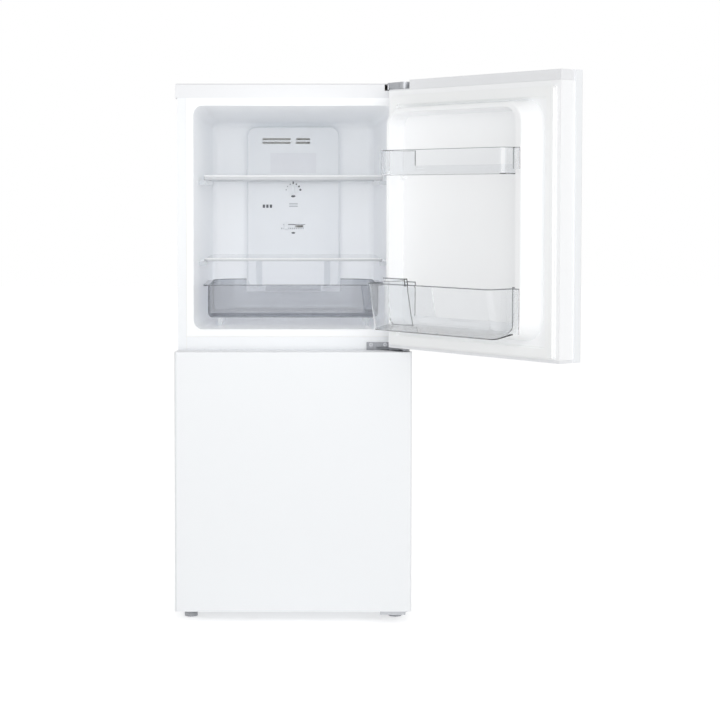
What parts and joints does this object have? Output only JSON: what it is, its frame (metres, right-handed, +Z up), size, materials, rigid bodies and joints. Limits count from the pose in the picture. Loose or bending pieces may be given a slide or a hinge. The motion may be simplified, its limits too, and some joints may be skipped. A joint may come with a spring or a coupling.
{
  "type": "bottom freezer refrigerator",
  "caption": "Small refrigerator with a fridge compartment over a freezer, each behind a hinged door; glass shelves, crisper drawer, door bins and freezer drawers.",
  "frame": {"origin": "middle of the cabinet's underside (the base pan's lower face); feet and rollers reach below it", "axes": "+X to the right seen from the front, +Y to the back, +Z up"},
  "size_m": [0.7933, 0.9669, 1.133],
  "materials": {
    "white_steel": "gloss",
    "galvanised": "satin",
    "liner_white": "gloss",
    "moulded_white": "satin",
    "foam": "matte",
    "duct_foam": "matte",
    "gasket_vinyl": "matte",
    "clear_tub": "gloss",
    "lens": "satin",
    "shelf_glass": "gloss",
    "shelf_trim": "satin",
    "zinc": "satin",
    "aluminium": "satin",
    "circuit": "satin",
    "heater": "gloss",
    "dark_plastic": "matte",
    "black_enamel": "gloss",
    "rubber": "matte",
    "condenser_steel": "satin"
  },
  "bodies": {
    "cabinet": {"side_panel_left": "white_steel", "side_panel_right": "white_steel", "back_panel": "galvanised", "base_pan": "galvanised", "front_crossbar": "white_steel", "cabinet_foam": "foam", "fridge_liner": "liner_white", "freezer_liner": "liner_white", "top_cover": "moulded_white", "control_board": "circuit", "duct_cover": "moulded_white", "air_duct": "duct_foam", "lamp_lens": "lens", "led_board": "circuit", "freezer_duct_cover": "moulded_white", "evaporator_fins": "aluminium", "evaporator_tube": "aluminium", "defrost_heater": "heater", "drain_trough": "moulded_white", "fan_motor": "dark_plastic", "compressor_shell": "black_enamel", "compressor_grommets": "rubber", "compressor_terminal_cover": "dark_plastic", "condenser_tube": "condenser_steel", "evaporation_tray": "dark_plastic", "machine_cover": "galvanised", "cord_gland": "dark_plastic", "top_hinge": "zinc", "middle_hinge": "zinc", "bottom_hinge": "zinc", "hinge_pins": "zinc", "hinge_screws": "zinc", "freezer_drawer_top": "clear_tub", "freezer_drawer_middle": "clear_tub", "freezer_drawer_bottom": "clear_tub"},
    "fridge_door": {"fridge_door_skin": "white_steel", "fridge_door_caps": "moulded_white", "fridge_door_liner": "liner_white", "fridge_door_gasket": "gasket_vinyl", "fridge_door_foam": "foam"},
    "freezer_door": {"freezer_door_skin": "white_steel", "freezer_door_caps": "moulded_white", "freezer_door_liner": "liner_white", "freezer_door_gasket": "gasket_vinyl", "freezer_door_foam": "foam"},
    "upper_bin": {"upper_bin": "clear_tub"},
    "lower_bin": {"lower_bin": "clear_tub"},
    "bottle_holder": {"bottle_holder": "clear_tub"},
    "crisper": {"crisper_drawer": "clear_tub"},
    "upper_shelf": {"upper_shelf_glass": "shelf_glass", "upper_shelf_trims": "shelf_trim"},
    "lower_shelf": {"lower_shelf_glass": "shelf_glass", "lower_shelf_trim": "shelf_trim"},
    "dial": {"temperature_dial": "moulded_white"},
    "slider": {"airflow_slider": "moulded_white"},
    "fan": {"fan_blades": "dark_plastic"},
    "left_foot": {"foot_left": "dark_plastic"},
    "right_foot": {"foot_right": "dark_plastic"},
    "left_roller": {"roller_left": "dark_plastic"},
    "right_roller": {"roller_right": "dark_plastic"}
  },
  "joints": [
    {"name": "fridge_door_swing", "type": "hinge", "parent": "cabinet", "child": "fridge_door", "pos_m": [0.232, -0.269, 0], "axis": [0, 0, 1], "range_deg": [-128, 0]},
    {"name": "freezer_door_swing", "type": "hinge", "parent": "cabinet", "child": "freezer_door", "pos_m": [0.232, -0.269, 0], "axis": [0, 0, 1], "range_deg": [0, 128]},
    {"name": "crisper_slide", "type": "slide", "parent": "cabinet", "child": "crisper", "axis": [0, -1, 0], "range_m": [0, 0.18]},
    {"name": "upper_shelf_slide", "type": "slide", "parent": "cabinet", "child": "upper_shelf", "axis": [0, -1, 0], "range_m": [0, 0.15]},
    {"name": "lower_shelf_slide", "type": "slide", "parent": "cabinet", "child": "lower_shelf", "axis": [0, -1, 0], "range_m": [0, 0.15]},
    {"name": "upper_bin_lift", "type": "slide", "parent": "fridge_door", "child": "upper_bin", "axis": [0, 0, 1], "range_m": [0, 0.03]},
    {"name": "lower_bin_lift", "type": "slide", "parent": "fridge_door", "child": "lower_bin", "axis": [0, 0, 1], "range_m": [0, 0.03]},
    {"name": "bottle_holder_slide", "type": "slide", "parent": "lower_bin", "child": "bottle_holder", "axis": [0.6157, -0.788, 0], "range_m": [-0.044, 0.19]},
    {"name": "dial_turn", "type": "hinge", "parent": "cabinet", "child": "dial", "pos_m": [0, 0.216, 0.884], "axis": [0, -1, 0], "range_deg": [-90, 90]},
    {"name": "slider_slide", "type": "slide", "parent": "cabinet", "child": "slider", "axis": [1, 0, 0], "range_m": [0, 0.034]},
    {"name": "fan_spin", "type": "hinge", "parent": "cabinet", "child": "fan", "pos_m": [0, 0.204, 0.452], "axis": [0, 1, 0], "continuous": true},
    {"name": "left_foot_turn", "type": "hinge", "parent": "cabinet", "child": "left_foot", "pos_m": [-0.218, -0.212, 0], "axis": [0, 0, 1], "continuous": true},
    {"name": "right_foot_turn", "type": "hinge", "parent": "cabinet", "child": "right_foot", "pos_m": [0.218, -0.212, 0], "axis": [0, 0, 1], "continuous": true},
    {"name": "left_roller_turn", "type": "hinge", "parent": "cabinet", "child": "left_roller", "pos_m": [-0.205, 0.25, -0.007], "axis": [1, 0, 0], "continuous": true},
    {"name": "right_roller_turn", "type": "hinge", "parent": "cabinet", "child": "right_roller", "pos_m": [0.205, 0.25, -0.007], "axis": [1, 0, 0], "continuous": true}
  ]
}
